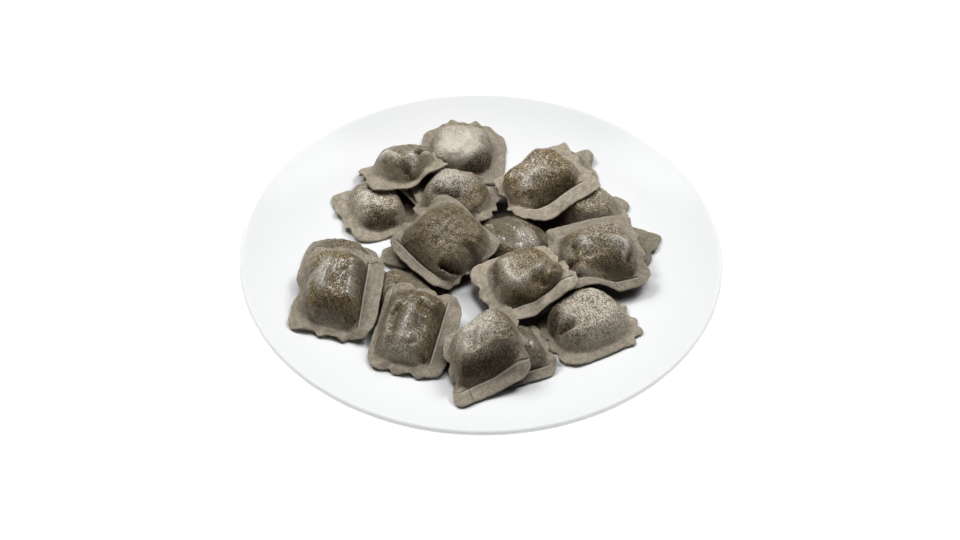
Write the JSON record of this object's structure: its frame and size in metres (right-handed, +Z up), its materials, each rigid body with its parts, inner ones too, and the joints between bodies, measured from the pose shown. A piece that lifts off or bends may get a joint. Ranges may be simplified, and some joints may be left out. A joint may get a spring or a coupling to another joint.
{
  "type": "plate of ravioli",
  "caption": "Square filled pasta pillows, dark taupe with pale dusting, lying in a loose heap in the middle of a shallow round white plate.",
  "frame": {"origin": "middle of the plate, on the plane its foot ring stands on", "axes": "+Z up; +Y away from the diner, towards the back of the heap; +X to the right"},
  "size_m": [0.2696, 0.2696, 0.0392],
  "materials": {
    "glaze": "gloss white glaze",
    "pasta": "damp satin pasta, floured in places"
  },
  "bodies": {
    "root": {"plate": "glaze", "raviolo_left_back": "pasta", "raviolo_far": "pasta", "raviolo_far_right": "pasta", "raviolo_right_back": "pasta", "raviolo_right_low": "pasta", "raviolo_right_front": "pasta", "raviolo_front_low": "pasta", "raviolo_left_low": "pasta", "raviolo_middle_left": "pasta", "raviolo_middle_low": "pasta", "raviolo_back_low": "pasta", "raviolo_middle_right": "pasta", "raviolo_left_front": "pasta", "raviolo_back_upper": "pasta", "raviolo_back_left_upper": "pasta", "raviolo_middle_upper": "pasta", "raviolo_right_back_upper": "pasta", "raviolo_right_upper": "pasta", "raviolo_left_upper": "pasta", "raviolo_top": "pasta", "raviolo_front_upper": "pasta"}
  },
  "joints": []
}
